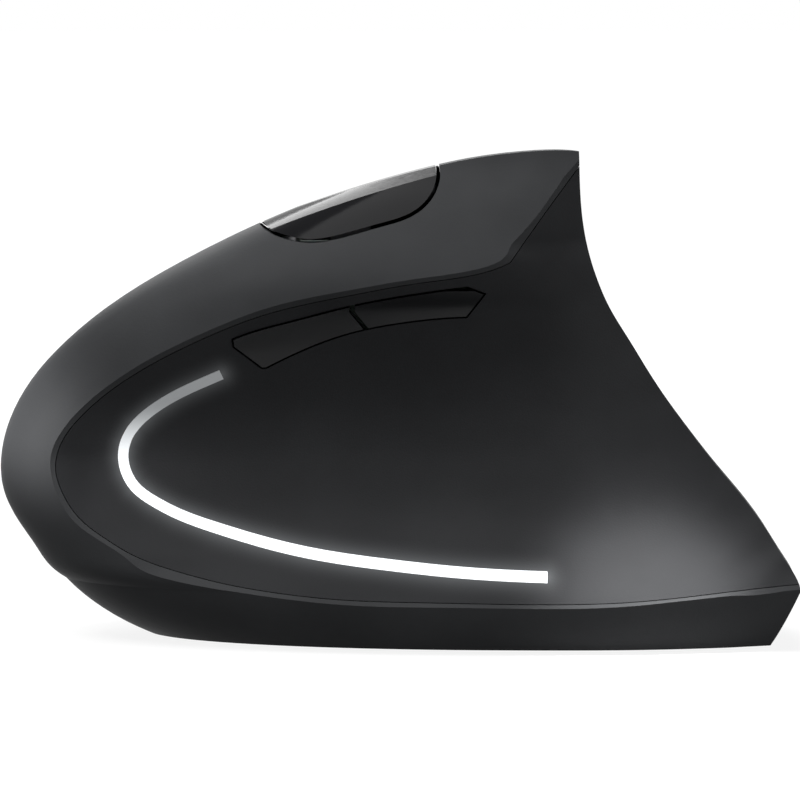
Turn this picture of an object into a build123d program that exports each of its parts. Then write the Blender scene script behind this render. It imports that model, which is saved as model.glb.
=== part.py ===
from build123d import *
import math
import os

# Overall size of the mouse, feet included
LENGTH = 120.0
WIDTH = 64.0
HEIGHT = 73.8

# Casing
WALL = 1.5
PANEL_THICK = 2.8
FOOT_THICK = 0.6
BASE_THICK = 1.8
BASE_GAP = 0.3
PARTING_RISE = 0.6
PALM_NEAR_SHARE = -0.328
HOLLOW_REACH = 9.0
CREASE_MARGIN = 0.8
SEAM_INSET = 6.5
INNER_TOP_SHARE = 0.92
CORE_TOP_SHARE = 0.95
CORE_DEPTH = 1.5
SEAM_GAP = 0.12
RIM_DEPTH = 1.0
FIT = 0.05
SLACK = 0.15
SKIN_TOLERANCE = 0.03
SMALL_CORNER = 0.6

# Finger side: the plane of the two click buttons and the wheel
WHEEL_REACH = 27.0
FINGER_X = WHEEL_REACH - LENGTH / 2
FINGER_HEIGHT_SHARE = 0.515
FINGER_Z = FINGER_HEIGHT_SHARE * HEIGHT
FINGER_TILT = 30.0
FINGER_YAW = 9.0
STRIP_WIDTH = 12.0
BUTTON_GAP = 0.45
BUTTON_REAR = 32.0
BUTTON_LOW = 25.0
BUTTON_HIGH = 28.0
TONGUE_LONG = 5.0
TONGUE_WIDE = 7.0
TONGUE_DEPTH = 4.5
TONGUE_THICK = 1.2
TONGUE_S = 11.0
PIVOT_REACH = 1.0
PIVOT_RADIUS = 0.8
RIDGE_CLEAR = -0.3

# Scroll wheel and its carrier
WHEEL_RADIUS = 12.0
WHEEL_WIDTH = 6.4
WHEEL_DEPTH = 9.0
HUB_RADIUS = 9.2
HUB_WIDTH = 6.0
DISH_RADIUS = 7.6
DISH_DEPTH = 1.6
TYRE_GROOVES = 28
GROOVE_DEPTH = 0.5
AXLE_RADIUS = 1.0
AXLE_START = -7.0
AXLE_END = 12.4
SLOT_LONG = 12.0
SLOT_WIDE = 4.0
CARRIER_FRONT = -17.0
CARRIER_REAR = 15.0
CARRIER_OPEN = 13.2
CARRIER_INSIDE = 4.2
CARRIER_OUTSIDE = 6.2
CARRIER_LOW = 11.9
CARRIER_HIGH = 8.2
CARRIER_FRONT_HIGH = 9.2
CARRIER_TAB_LOW = 8.9
CARRIER_TAB_HIGH = 6.5
CARRIER_TAB_END = 21.0
CARRIER_TAB_WIDE = 3.0
BEARING_LONG = 3.0
BEARING_HIGH = 6.3
PIN_X = -15.1
PIN_DEPTH = 10.55
PIN_RADIUS = 0.75
BRACKET_LONG = 3.0
BRACKET_THICK = 1.0
EAR_GAP = 0.3
EAR_THICK = 1.6
EAR_HIGH = 9.3

# Circuit boards
BOARD_THICK = 1.4
CLICK_BOARD_DEPTH = 13.0
CLICK_BOARD_LONG = 52.0
CLICK_BOARD_WIDE = 30.4
CLICK_BOARD_SHARES = [
    (-0.423, -0.164), (-0.327, -0.296), (0.0, -0.296), (0.0, -0.441), (0.327, -0.441), (0.327, -0.296),
    (0.577, -0.296), (0.577, 0.559), (-0.135, 0.559), (-0.135, 0.296), (-0.327, 0.296), (-0.423, 0.164),
]
CLICK_BOARD_SLOT = 12.6
CLICK_POSTS = [-19.3, 26.0]
CLICK_POST_RADIUS = 1.6
MAIN_BOARD_Z = 7.0
MAIN_BOARD_SHARES = [(-0.300, -0.109), (-0.079, -0.109), (-0.079, 0.273), (-0.217, 0.273), (-0.300, 0.188)]
MAIN_POST_SHARES = [(-0.272, 0.102), (-0.096, -0.078)]
LENS_HOLE_RADIUS = 2.0
SIDE_BOARD_Y_SHARE = -0.0547
SIDE_BOARD_Y = SIDE_BOARD_Y_SHARE * WIDTH
SIDE_BOARD_SHARES = [
    (-0.192, 0.589), (-0.092, 0.589), (-0.092, 0.553), (-0.042, 0.553),
    (-0.042, 0.589), (0.117, 0.589), (0.117, 0.732), (-0.192, 0.732),
]
SIDE_POST_SHARES = [(-0.067, 0.577), (0.083, 0.6125)]
RIDGE_BOARD_HEIGHT_SHARE = 0.7913
RIDGE_BOARD_Z = RIDGE_BOARD_HEIGHT_SHARE * HEIGHT
RIDGE_BOARD_SHARES = [(-0.150, -0.156), (0.033, 0.0)]
RIDGE_POST_SHARES = [-0.133, 0.017]
RIB_WIDTH = 3.0
RIB_DEEP = 2.2
POST_RADIUS = 1.6

# Switches
CLICK_SWITCH = (12.8, 5.8, 6.5)
CLICK_LEFT = (9.0, -9.9)
CLICK_RIGHT = (13.0, 13.0)
CLICK_PLUNGER_RISE = 0.7
TACT_SIZE = 6.0
TACT_HEIGHT = 3.5
TACT_PLUNGER_RISE = 0.9
WHEEL_SWITCH_X = 18.5
WHEEL_PLUNGER_RISE = 0.54
PLUNGER_RADIUS = 1.0
PLUNGER_WELL = 1.5
PLUNGER_ROOT = 0.6
PRESS_GAP = 0.06
PRESS_POST_RADIUS = 1.4
ENCODER_LONG = 11.0
ENCODER_WIDE = 4.4
ENCODER_HIGH = 6.7
ENCODER_S = 11.0
ENCODER_SLOT = 2.8

# Side buttons
SIDE_GAP = 0.3
SIDE_PROUD = 0.5
SIDE_PLATE = 3.6
SIDE_FLANGE = 0.8
SIDE_FLANGE_THICK = 0.75
SIDE_SWITCH_SHARES = [(-0.125, 0.6314), (0.030, 0.683)]
DIVIDER_GAP = 0.9

# Ridge button
RIDGE_GAP = 0.6
RIDGE_SWITCH_X_SHARE = -0.058
RIDGE_SWITCH_Y_SHARE = -0.078
RIDGE_SWITCH_X = RIDGE_SWITCH_X_SHARE * LENGTH
RIDGE_SWITCH_Y = RIDGE_SWITCH_Y_SHARE * WIDTH

# Light line
LIGHT_WIDTH = 1.5
LIGHT_TAIL = 0.8
LIGHT_BOARD_WIDTH = 5.0
LIGHT_BOARD_THICK = 0.4
DIODE_COUNT = 9
DIODE_LONG = 2.0
DIODE_WIDE = 1.4
DIODE_THICK = 0.9
DIODE_GAP = 0.7

# Batteries and their bay
CELL_RADIUS = 5.25
CELL_LENGTH = 43.5
CELL_NUB_RADIUS = 1.9
CELL_NUB = 1.0
CELL_PITCH = 11.0
CELL_LIFT = 0.95
CELL_RISE = 1.0
CELL_Z = FOOT_THICK + BASE_THICK + CELL_RADIUS + CELL_LIFT
BAY_MIDDLE_SHARES = (0.151, 0.094)
BAY_END_ROOM = 5.7
BAY_SIDE_ROOM = 1.7
BAY_LONG = CELL_LENGTH + CELL_NUB + BAY_END_ROOM
BAY_WIDE = CELL_PITCH + 2 * CELL_RADIUS + BAY_SIDE_ROOM
BAY_X = [BAY_MIDDLE_SHARES[0] * LENGTH - BAY_LONG / 2, BAY_MIDDLE_SHARES[0] * LENGTH + BAY_LONG / 2]
BAY_Y = [BAY_MIDDLE_SHARES[1] * WIDTH - BAY_WIDE / 2, BAY_MIDDLE_SHARES[1] * WIDTH + BAY_WIDE / 2]
BAY_WALL = 1.2
BAY_TOP = CELL_Z + CELL_RISE
CONTACT_SIZE = 8.0
CONTACT_THICK = 0.4
CONTACT_BUTTON_RADIUS = 1.5
SPRING_BASE_RADIUS = 3.2
SPRING_TIP_RADIUS = 2.2
SPRING_WIRE = 0.5
DOOR_FRONT_LIP = 1.1
DOOR_REAR_LIP = 0.7
DOOR_SIDE_LIP = 0.4
DOOR_X = [BAY_X[0] + DOOR_FRONT_LIP, BAY_X[1] - DOOR_REAR_LIP]
DOOR_Y = [BAY_Y[0] + DOOR_SIDE_LIP, BAY_Y[1] - DOOR_SIDE_LIP]
DOOR_THICK = 1.5
DOOR_GAP = 0.3
DOOR_BEAD_RADIUS = 0.5
DOOR_BEAD_LONG = 1.0
DOOR_NOTCH_RADIUS = 7.0
DOOR_NOTCH_DEPTH = 0.5
DOOR_AXIS_Z = FOOT_THICK + DOOR_THICK / 2
BEAD_ENDS = [DOOR_Y[0] - DOOR_GAP - DOOR_BEAD_LONG, DOOR_Y[1] + DOOR_GAP + DOOR_BEAD_LONG]

# Sensor, power switch, radio receiver
SENSOR_PLACE_SHARES = (-0.183, 0.031)
SENSOR_X = SENSOR_PLACE_SHARES[0] * LENGTH
SENSOR_Y = SENSOR_PLACE_SHARES[1] * WIDTH
SENSOR_SIZE = (10.0, 7.0, 2.8)
CLIP_SIZE = (16.0, 12.0, 2.9)
CLIP_WALL = 0.3
LENS_SIZE = (15.0, 11.0, 1.3)
LENS_NUB_RADIUS = 2.5
LENS_NUB = 1.4
LENS_Z = 2.6
WINDOW_RADIUS = 3.2
POWER_PLACE_SHARES = (-0.117, 0.211)
POWER_X = POWER_PLACE_SHARES[0] * LENGTH
POWER_Y = POWER_PLACE_SHARES[1] * WIDTH
POWER_TRAVEL = 2.5
POWER_SLOT = (7.2, 3.2)
POWER_SWITCH = (8.5, 3.5, 3.0)
POWER_GROOVE = (4.6, 1.4, 1.4)
SLIDER_KNOB = (3.6, 2.8)
SLIDER_FLANGE = (6.0, 4.4, 0.75)
SLIDER_STEM = (1.2, 1.0, 1.3)
SLIDER_RIB = 0.4
RECEIVER_SIZE = (18.7, 13.8, 5.6)
RECEIVER_PLACE_SHARES = (0.1125, -0.244)
RECEIVER_X = RECEIVER_PLACE_SHARES[0] * LENGTH
RECEIVER_Y = RECEIVER_PLACE_SHARES[1] * WIDTH
RECEIVER_GAP = 0.25
RECEIVER_WALL = 1.0
RECEIVER_INSET = 0.2
PLUG_TONGUE = (12.0, 4.5)

# Fasteners and feet
SCREW_RADIUS = 1.0
SCREW_HEAD_RADIUS = 1.9
SCREW_HEAD = 0.9
SCREW_LENGTH = 6.5
COUNTERBORE = 1.0
BOSS_RADIUS = 2.6
BOSS_TOP = 9.4
BOSS_ROOF = 1.0
WEB_LONG = 9.0
WEB_TOP = 6.4
# Case screws: (length share, width share, way its web points in degrees)
CASE_SCREW_SHARES = [(-0.183, -0.203, 250), (0.229, -0.331, 275), (0.008, 0.369, 90), (0.417, -0.031, 0)]
CASE_SCREWS = [(a * LENGTH, b * WIDTH, turn) for a, b, turn in CASE_SCREW_SHARES]
BOARD_SCREW_RADIUS = 0.7
BOARD_SCREW_HEAD_RADIUS = 1.4
BOARD_SCREW_HEAD = 0.8
BOARD_SCREW_LENGTH = 3.0
# Glide feet: shares of the length and width for the middle, then for the foot's own size
FOOT_SHARES = [
    (-0.2325, 0.023, 0.038, 0.203), (-0.083, -0.2375, 0.100, 0.088),
    (0.333, -0.234, 0.100, 0.109), (0.117, 0.375, 0.167, 0.078),
]
FOOT_CORNER = 2.2

# Place along the length where the palm shell passes the tip of the ridge
TAIL_SHARE = 0.738
# Height of the skirt line, where the casing is longest
SKIRT_SHARE = 0.122
# Side outline of the front: (height share, length share) from the chin to the ridge
FRONT_SHARES = [
    (0.008, 0.189), (0.052, 0.134), (0.093, 0.102), (0.134, 0.073), (0.175, 0.049),
    (0.217, 0.029), (0.299, 0.004), (0.355, 0.000), (0.421, 0.0065), (0.508, 0.031),
    (0.587, 0.0705), (0.669, 0.1285), (0.751, 0.207), (0.835, 0.3075), (0.876, 0.366),
    (0.915, 0.425), (0.956, 0.490), (1.040, 0.610),
]
# Trailing edge: (height share, length share), below and above the skirt line
REAR_LOW_SHARES = [(0.008, 0.964), (0.061, 0.982), (0.122, 1.000)]
REAR_HIGH_SHARES = [
    (0.122, 1.000), (0.158, 0.989), (0.198, 0.976), (0.277, 0.943), (0.357, 0.902),
    (0.436, 0.864), (0.516, 0.8285), (0.596, 0.798), (0.676, 0.768), (0.757, 0.747),
    (0.837, 0.735), (0.918, 0.730), (0.989, 0.729), (1.040, 0.728),
]
# Width of the near side and place of the finger side: (height share, width share)
NEAR_DEPTH_SHARES = [
    (0.008, 0.376), (0.061, 0.410), (0.123, 0.429), (0.164, 0.416), (0.219, 0.376),
    (0.273, 0.338), (0.410, 0.279), (0.546, 0.249), (0.683, 0.236), (0.751, 0.224),
    (0.820, 0.177), (0.888, 0.124), (0.956, 0.056), (0.997, 0.025), (1.040, 0.016),
]
CROWN_SHARES = [
    (0.008, 0.969), (0.061, 0.989), (0.123, 1.000), (0.273, 0.939), (0.410, 0.870),
    (0.546, 0.789), (0.683, 0.698), (0.820, 0.595), (0.956, 0.479), (1.040, 0.441),
]
RIDGE_SHARES = [(0.008, 0.440), (0.340, 0.437), (0.820, 0.423), (1.040, 0.413)]
# Cross recess in the screw heads, as shares of the head's radius
RECESS_LONG_SHARE = 1.2
RECESS_WIDE_SHARE = 0.3
# Most that a sloping skin may widen the gap between two plan outlines
STEEPEST_SHARE = 2.8
REAR_SLOPE_SHARE = 1.2
# Crease round the thumb rest: (length share, height share) from the tip to the wing
CREASE_TAIL_SHARES = [(0.7285, 0.984), (0.679, 0.881), (0.636, 0.790)]
CREASE_SHARES = [
    (0.636, 0.786), (0.618, 0.775), (0.577, 0.760), (0.514, 0.746), (0.451, 0.727),
    (0.387, 0.706), (0.324, 0.678), (0.261, 0.637), (0.197, 0.585), (0.132, 0.516),
    (0.100, 0.469), (0.077, 0.421), (0.066, 0.358), (0.074, 0.307), (0.100, 0.246),
    (0.133, 0.208), (0.166, 0.179), (0.230, 0.145), (0.294, 0.123), (0.357, 0.109),
    (0.420, 0.100), (0.545, 0.0955), (0.671, 0.093), (0.797, 0.098), (0.860, 0.1065),
    (0.924, 0.116), (0.9975, 0.123),
]
# Depth of the thumb hollow along the length: (length share, width share)
HOLLOW_SHARES = [(-0.05, 0.110), (0.25, 0.135), (0.50, 0.155), (0.75, 0.125), (1.05, 0.100)]
# Outline along the top of the ridge
TOP_SHARES = [
    (0.300, 0.845), (0.372, 0.881), (0.436, 0.916), (0.521, 0.956), (0.600, 0.984),
    (0.661, 0.996), (0.700, 0.999), (0.7235, 0.9975), (0.745, 0.992),
]
# Side buttons, as (length share, height share): the opening round both, and the divider
SIDE_TOP_SHARES = [
    (0.294, 0.622), (0.330, 0.643), (0.367, 0.659), (0.442, 0.691), (0.517, 0.714), (0.588, 0.730),
]
SIDE_LOW_SHARES = [
    (0.588, 0.662), (0.560, 0.660), (0.509, 0.651), (0.433, 0.625), (0.382, 0.593), (0.337, 0.557),
]
SIDE_NOSE_SHARES = [(0.331, 0.557), (0.2955, 0.603)]
SIDE_TAIL_SHARES = [(0.612, 0.714)]
DIVIDER_SHARES = [(0.4445, 0.720), (0.4445, 0.677), (0.468, 0.628), (0.468, 0.540)]
# Ridge button outline on the thumb side
RIDGE_OVAL_SHARES = [
    (0.328, 0.848), (0.345, 0.830), (0.366, 0.820), (0.391, 0.815), (0.417, 0.820), (0.477, 0.846),
    (0.527, 0.876), (0.545, 0.905), (0.554, 0.940), (0.553, 0.970),
]
# Centre of the light line
LIGHT_SHARES = [
    (0.281, 0.546), (0.227, 0.506), (0.195, 0.474), (0.172, 0.440), (0.159, 0.402), (0.157, 0.373),
    (0.161, 0.345), (0.172, 0.317), (0.195, 0.290), (0.227, 0.265), (0.276, 0.239), (0.324, 0.218),
    (0.387, 0.196), (0.451, 0.181), (0.504, 0.172), (0.567, 0.163), (0.630, 0.157), (0.686, 0.154),
]
# Heights along the ridge that the seam of the finger side follows
SEAM_HEIGHT_SHARES = [0.134, 0.217, 0.299, 0.380, 0.460, 0.545, 0.628, 0.710, 0.790, 0.860, 0.915, 0.950]
NEAR_STATIONS = [0, 0.02, 0.06, 0.12, 0.21, 0.33, 0.48, 0.65, 0.80, 0.92, 1]
OUTLINE_STEPS = 16
FAR_STATIONS = [1, 0.985, 0.93, 0.83, 0.70, 0.56, 0.42, 0.28, 0.16, 0.07, 0.02, 0]


def smooth(table, at):
    """Value of a smooth curve through the table's points, straight beyond its ends."""
    if at <= table[0][0] or at >= table[-1][0]:
        (a, va), (b, vb) = table[:2] if at <= table[0][0] else table[-2:]
        return va + (vb - va) * (at - a) / (b - a)
    i = max(k for k in range(len(table) - 1) if table[k][0] <= at)
    (a, va), (b, vb) = table[i], table[i + 1]

    def slope(k):
        low, high = table[max(k - 1, 0)], table[min(k + 1, len(table) - 1)]
        return (high[1] - low[1]) / (high[0] - low[0])

    t, h = (at - a) / (b - a), b - a
    return (
        va * (1 + 2 * t) * (1 - t) ** 2 + vb * t * t * (3 - 2 * t)
        + h * t * (1 - t) * (slope(i) * (1 - t) - slope(i + 1) * t)
    )


def near_profile(q):
    """Share of the near side's depth at a share q of the length."""
    peak = 0.65
    if q < peak:
        return (1 - (1 - q / peak) ** 2.2) ** (1 / 1.9)
    return 1 - 0.25 * ((q - peak) / (1 - peak)) ** 2.5


def far_profile(q):
    """Share of the finger side's bulge at a share q of the length."""
    peak = 0.56
    if q < peak:
        return (1 - (1 - q / peak) ** 2.2) ** (1 / 1.8)
    return max(0.0, 1 - ((q - peak) / (1 - peak)) ** 2.6) ** (1 / 1.7)


def in_plan(inset, table, share, size):
    """An inset square to a sloping skin, measured level instead."""
    step = 0.01
    rise = (smooth(table, share + step) - smooth(table, share - step)) / (2 * step)
    return inset * min(math.hypot(1, rise * size / HEIGHT), STEEPEST_SHARE)


def level(share, low=False, inset=0.0):
    """Plan sizes of the body at a height share: front, rear, depth, crown and ridge."""
    rears = REAR_LOW_SHARES if low else REAR_HIGH_SHARES
    front = (smooth(FRONT_SHARES, share) - 0.5) * LENGTH + in_plan(inset, FRONT_SHARES, share, LENGTH)
    rear = (smooth(rears, share) - 0.5) * LENGTH - inset * REAR_SLOPE_SHARE
    depth = smooth(NEAR_DEPTH_SHARES, share) * WIDTH - in_plan(inset, NEAR_DEPTH_SHARES, share, WIDTH)
    ridge = (smooth(RIDGE_SHARES, share) - 0.5) * WIDTH
    crown = (smooth(CROWN_SHARES, share) - 0.5) * WIDTH - ridge - in_plan(inset, CROWN_SHARES, share, WIDTH)
    return front, rear, depth, crown, ridge


def section(share, low=False, inset=0.0):
    """Closed plan outline of the filled body at a height share."""
    front, rear, depth, crown, ridge = level(share, low, inset)
    span = rear - front
    z = share * HEIGHT
    near = [(front + q * span, ridge - depth * near_profile(q), z) for q in NEAR_STATIONS]
    corner = near[-1]
    far = [corner, (rear, (corner[1] + ridge) / 2, z)]
    far += [(front + q * span, ridge + crown * far_profile(q), z) for q in FAR_STATIONS]
    near_steps = [k / (len(near) - 1) for k in range(len(near))]
    far_steps = [k / (len(far) - 1) for k in range(len(far))]
    back = Vector(near[-1]) - Vector(near[-2])
    near_edge = Edge.make_spline(
        [Vector(*p) for p in near], tangents=[Vector(0, -1, 0), back.normalized()],
        parameters=near_steps, scale=True,
    )
    far_edge = Edge.make_spline(
        [Vector(*p) for p in far], tangents=[Vector(0, 1, 0), Vector(0, -1, 0)],
        parameters=far_steps, scale=True,
    )
    return Wire([near_edge, far_edge])


def place(length_share, height_share, y=0.0):
    """Point of the side view at shares of the length and height."""
    return Vector((length_share - 0.5) * LENGTH, y, height_share * HEIGHT)


def crease_path():
    """Points along the crease round the thumb rest, run on past both of its ends."""
    tail = [place(*p) for p in CREASE_TAIL_SHARES]
    curve = Spline(*[place(*p) for p in CREASE_SHARES])
    body = [curve @ (k / 90) for k in range(91)]
    start = tail[0] + (tail[0] - tail[1]) * 3
    end = body[-1] + (body[-1] - body[-2]).normalized() * LENGTH / 2
    return [start] + tail + body + [end]


def signed_reach(path, x, z):
    """Distance from the crease, positive on the thumb rest and negative on the band."""
    best = LENGTH * 9
    inside = False
    loop = path + [Vector(LENGTH * 2, 0, path[-1].Z), Vector(LENGTH * 2, 0, path[0].Z)]
    for k in range(len(loop)):
        a, b = loop[k], loop[(k + 1) % len(loop)]
        if k < len(path) - 1:
            along = Vector(b.X - a.X, 0, b.Z - a.Z)
            t = ((x - a.X) * along.X + (z - a.Z) * along.Z) / along.length ** 2
            t = min(1, max(0, t))
            best = min(best, math.hypot(x - a.X - t * along.X, z - a.Z - t * along.Z))
        if (a.Z > z) != (b.Z > z) and x < a.X + (z - a.Z) * (b.X - a.X) / (b.Z - a.Z):
            inside = not inside
    return best if inside else -best


def thumb_y(path, x, z):
    """Place of the hollowed thumb face, across the width, at a point of the side view."""
    share = min(max(z / HEIGHT, 0.06), 1.04)
    front, rear, depth, crown, ridge = level(share, low=share < SKIRT_SHARE)
    q = min(max((x - front) / (rear - front), 0.05), 1.0)
    filled = ridge - depth * near_profile(q)
    hollow = smooth(HOLLOW_SHARES, x / LENGTH + 0.5) * WIDTH
    return filled + hollow * math.tanh(signed_reach(path, x, z) / HOLLOW_REACH)


def thumb_grid():
    """Points of the thumb face: rows up the height, columns along the length."""
    path = crease_path()
    columns = [(-0.54 + 1.08 * k / 30) * LENGTH for k in range(31)]
    rows = [(-0.06 + 1.14 * k / 24) * HEIGHT for k in range(25)]
    return [[Vector(x, thumb_y(path, x, z), z) for x in columns] for z in rows]


THUMB_GRID = thumb_grid()


def thumb_surface(depth=0.0):
    """The hollowed thumb face, or the face at a depth behind it."""
    grid = [[point + Vector(0, depth, 0) for point in row] for row in THUMB_GRID]
    return Face.make_surface_from_array_of_points(grid, tol=SKIN_TOLERANCE, max_deg=3)


def behind_thumb(depth=0.0):
    """Everything on the finger side of the thumb face, from a depth behind it."""
    return extrude(thumb_surface(depth), amount=LENGTH, dir=(0, 1, 0))


def shares_between(low, high, count):
    """Evenly spaced height shares."""
    return [low + (high - low) * k / (count - 1) for k in range(count)]


def filled_body(inset=0.0, top=1.03):
    """The body as if its thumb side bulged out instead of being hollowed."""
    base = FOOT_THICK / HEIGHT
    low = Solid.make_loft([section(s, True, inset) for s in shares_between(base, SKIRT_SHARE, 3)])
    high = Solid.make_loft([section(s, False, inset) for s in shares_between(SKIRT_SHARE, top, 16)])
    return low.fuse(high)


def solid_of(shape):
    """The largest solid in a shape."""
    return max(shape.solids(), key=lambda s: s.volume)


def side_prism(points, closed_by, y_from, y_to):
    """Prism across the width over an outline given in the side view."""
    curve = Spline(*points)
    ends = [points[-1]] + closed_by + [points[0]]
    outline = Wire([curve] + [Edge.make_line(a, b) for a, b in zip(ends, ends[1:])])
    return extrude(Face(outline).moved(Location((0, y_from, 0))), amount=y_to - y_from, dir=(0, 1, 0))


def under_ridge():
    """Everything under the outline of the ridge."""
    points = [place(*p) for p in TOP_SHARES]
    corners = [place(1.2, 0.9), place(1.2, -0.2), place(-0.2, -0.2), place(-0.2, 1.2), place(0.300, 1.2)]
    return side_prism(points, corners, -WIDTH, WIDTH)


def far_y(x, z):
    """Place of the finger side, across the width, at a point of the side view."""
    front, rear, depth, crown, ridge = level(z / HEIGHT)
    return ridge + crown * far_profile((x - front) / (rear - front))


def finger_plane():
    """Plane of the click buttons: its z axis stands out of the finger side."""
    tilt, yaw = math.radians(FINGER_TILT), math.radians(FINGER_YAW)
    out = Vector(-math.cos(tilt) * math.sin(yaw), math.cos(tilt) * math.cos(yaw), math.sin(tilt))
    origin = Vector(FINGER_X, far_y(FINGER_X, FINGER_Z), FINGER_Z)
    return Plane(origin=origin, x_dir=(math.cos(yaw), math.sin(yaw), 0), z_dir=out)


FINGER = finger_plane()


def block(x0, x1, y0, y1, z0, z1):
    """Box between two values on each axis."""
    centre = Location(((x0 + x1) / 2, (y0 + y1) / 2, (z0 + z1) / 2))
    return centre * Box(abs(x1 - x0), abs(y1 - y0), abs(z1 - z0))


def rod(x, y, z0, z1, radius):
    """Upright cylinder from z0 to z1."""
    return Location((x, y, (z0 + z1) / 2)) * Cylinder(radius, abs(z1 - z0))


def cross_rod(x, z, y0, y1, radius):
    """Cylinder along y from y0 to y1."""
    turned = Location((x, (y0 + y1) / 2, z)) * Rotation(90, 0, 0)
    return turned * Cylinder(radius, abs(y1 - y0))


def on_finger(shape):
    """A shape drawn in the finger plane's own axes, set in its place."""
    return FINGER.location * shape


def side_sheet(sketch, y0, y1):
    """Prism across the width over a sketch drawn as a side view."""
    flat = Location((0, y0, 0)) * (Plane.XZ * sketch)
    return extrude(flat, amount=abs(y1 - y0), dir=(0, 1, 0))


def flat_points(shares):
    """Side view points as places on a flat sketch."""
    return [((a - 0.5) * LENGTH, b * HEIGHT) for a, b in shares]


def grown(outline, amount):
    """A flat outline offset by an amount, its curved edges drawn again through points."""
    edges = []
    for edge in offset(outline, amount=amount).face().outer_wire().edges():
        if edge.geom_type in (GeomType.LINE, GeomType.CIRCLE):
            edges.append(edge)
        else:
            edges.append(Spline(*[edge @ (k / OUTLINE_STEPS) for k in range(OUTLINE_STEPS + 1)]))
    return Sketch() + Face(Wire(edges))


def crease_prism(margin):
    """Everything across the width inside the crease, a margin in from it."""
    points = [place(*p) for p in CREASE_TAIL_SHARES[:2] + CREASE_SHARES]
    moved = []
    for k, point in enumerate(points):
        before, after = points[max(k - 1, 0)], points[min(k + 1, len(points) - 1)]
        along = (after - before).normalized()
        moved.append(point + Vector(-along.Z, 0, along.X) * margin)
    run_on = moved[0] + (moved[0] - moved[1]) * 2
    tail = [run_on, moved[0], moved[1], moved[2]]
    curve = Spline(*[moved[k] for k in range(2, len(moved))])
    corners = [moved[-1], place(1.2, CREASE_SHARES[-1][1]), place(1.2, 1.2), place(0.9, 1.2)] + tail
    lines = [Edge.make_line(a, b) for a, b in zip(corners, corners[1:])]
    face = Face(Wire([curve] + lines)).moved(Location((0, -WIDTH, 0)))
    return extrude(face, amount=2 * WIDTH, dir=(0, 1, 0))


def finger_region(inset=0.0):
    """Everything inside the seam of the finger side, along the finger plane's z axis."""
    points = []
    for share in SEAM_HEIGHT_SHARES:
        ridge = (smooth(RIDGE_SHARES, share) - 0.5) * WIDTH
        points.append(FINGER.to_local_coords(place(smooth(FRONT_SHARES, share), share, ridge)))
    moved = []
    for k, point in enumerate(points):
        before, after = points[max(k - 1, 0)], points[min(k + 1, len(points) - 1)]
        along = Vector(after.X - before.X, after.Y - before.Y, 0).normalized()
        shift = Vector(-along.Y, along.X, 0) * (SEAM_INSET + inset)
        moved.append(Vector(point.X, point.Y, 0) + shift)
    low, high = Vector(moved[0].X, WIDTH, 0), moved[-1] + Vector(LENGTH, 0, 0)
    corners = [moved[-1], high, Vector(high.X, WIDTH, 0), low, moved[0]]
    lines = [Edge.make_line(a, b) for a, b in zip(corners, corners[1:])]
    face = Face(Wire([Spline(*moved)] + lines)).moved(Location((0, 0, -WIDTH)))
    return on_finger(extrude(face, amount=2 * WIDTH, dir=(0, 0, 1)))


def palm_front(inset=0.0):
    """The finger side of the casing, down to the parting line above the skirt."""
    ridge_y = (RIDGE_SHARES[1][1] - 0.5) * WIDTH
    floor = SKIRT_SHARE * HEIGHT + PARTING_RISE + inset
    half = block(-LENGTH, LENGTH, ridge_y + RIM_DEPTH + inset, LENGTH, floor, LENGTH)
    return finger_region(inset) & half


def palm_rear(inset=0.0):
    """The rear of the casing behind the trailing edge of the thumb panel."""
    tip = (TAIL_SHARE - 0.5) * LENGTH
    floor = SKIRT_SHARE * HEIGHT + PARTING_RISE + inset
    return block(tip + inset, LENGTH, PALM_NEAR_SHARE * WIDTH + inset, LENGTH, floor, LENGTH)


def click_zone(side):
    """Where the left (-1) or right (+1) click button lies, in the finger plane."""
    low = BUTTON_LOW if side > 0 else BUTTON_HIGH
    ends = sorted([side * (STRIP_WIDTH / 2 + BUTTON_GAP), side * low])
    return on_finger(block(-LENGTH, BUTTON_REAR, ends[0], ends[1], -LENGTH / 3, LENGTH))


def click_opening(side):
    """The opening that a click button fills, its gap included."""
    low = (BUTTON_LOW if side > 0 else BUTTON_HIGH) + BUTTON_GAP
    ends = sorted([side * STRIP_WIDTH / 2, side * low])
    return on_finger(block(-LENGTH, BUTTON_REAR + BUTTON_GAP, ends[0], ends[1], -LENGTH / 3, LENGTH))


def side_opening():
    """Sketch of the opening round both side buttons."""
    top, low = flat_points(SIDE_TOP_SHARES), flat_points(SIDE_LOW_SHARES)
    nose, tail = flat_points(SIDE_NOSE_SHARES), flat_points(SIDE_TAIL_SHARES)
    chain = [top[-1]] + tail + [low[0]]
    back = [low[-1]] + nose + [top[0]]
    edges = [Spline(*top), Spline(*low)]
    edges += [Edge.make_line(a, b) for a, b in zip(chain, chain[1:])]
    edges += [Edge.make_line(a, b) for a, b in zip(back, back[1:])]
    return Sketch() + Face(Wire(edges))


def divider_half(front):
    """Sketch of everything before or behind the slanted divider."""
    shift = -DIVIDER_GAP / 2 if front else DIVIDER_GAP / 2
    line = [(x + shift, z) for x, z in flat_points(DIVIDER_SHARES)]
    far = -LENGTH if front else LENGTH
    corners = line + [(far, line[-1][1]), (far, line[0][1])]
    edges = [Edge.make_line(a, b) for a, b in zip(corners, corners[1:] + corners[:1])]
    return Sketch() + Face(Wire(edges))


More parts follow.
